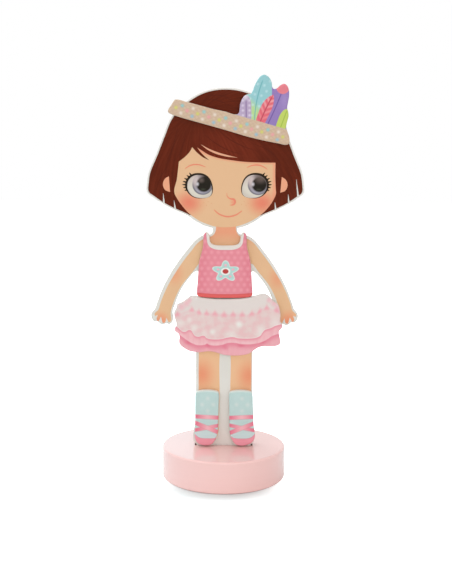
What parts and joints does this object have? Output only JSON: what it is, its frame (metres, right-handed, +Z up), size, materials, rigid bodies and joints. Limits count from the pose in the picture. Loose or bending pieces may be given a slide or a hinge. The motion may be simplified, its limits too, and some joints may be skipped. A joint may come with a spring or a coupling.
{
  "type": "wooden dress-up doll",
  "caption": "Flat board doll with printed face, magnetic vest, frilled skirt, boots and feathered headband, standing by its tongue in a slotted round base.",
  "frame": {"origin": "middle of the round base's underside", "axes": "+Z up, the doll's printed front faces -Y, +X to the right as seen from the front"},
  "size_m": [0.112, 0.09, 0.291],
  "materials": {
    "pink_paint": "semi-gloss pink paint on turned wood",
    "white_board": "white painted board",
    "printed_sheet": "satin printed sheet",
    "steel": "rolled sheet",
    "magnet": "nickel plated",
    "cover_sheet": "matt paper sheet",
    "headband_print": "satin printed board",
    "top_print": "satin printed board",
    "skirt_print": "satin printed board",
    "boot_print": "satin printed board"
  },
  "bodies": {
    "stand": {"stand_base": "pink_paint"},
    "doll": {"doll_board": "white_board", "head_steel_plate": "steel", "torso_steel_plate": "steel", "leg_steel_plate": "steel", "doll_front_sheet": "printed_sheet"},
    "headband": {"headband_board": "headband_print", "headband_magnets": "magnet", "headband_back_sheet": "cover_sheet"},
    "top": {"top_board": "top_print", "top_magnets": "magnet", "top_back_sheet": "cover_sheet"},
    "skirt": {"skirt_board": "skirt_print", "skirt_magnets": "magnet", "skirt_back_sheet": "cover_sheet"},
    "left_boot": {"left_boot_board": "boot_print", "left_boot_magnets": "magnet", "left_boot_back_sheet": "cover_sheet"},
    "right_boot": {"right_boot_board": "boot_print", "right_boot_magnets": "magnet", "right_boot_back_sheet": "cover_sheet"}
  },
  "joints": [
    {"name": "doll_lift", "type": "slide", "parent": "stand", "child": "doll", "axis": [0, 0, 1], "range_m": [0, 0.03]},
    {"name": "headband_pull", "type": "slide", "parent": "doll", "child": "headband", "axis": [0, -1, 0], "range_m": [0, 0.03]},
    {"name": "top_pull", "type": "slide", "parent": "doll", "child": "top", "axis": [0, -1, 0], "range_m": [0, 0.03]},
    {"name": "skirt_pull", "type": "slide", "parent": "doll", "child": "skirt", "axis": [0, -1, 0], "range_m": [0, 0.03]},
    {"name": "left_boot_pull", "type": "slide", "parent": "doll", "child": "left_boot", "axis": [0, -1, 0], "range_m": [0, 0.03]},
    {"name": "right_boot_pull", "type": "slide", "parent": "doll", "child": "right_boot", "axis": [0, -1, 0], "range_m": [0, 0.03]}
  ]
}
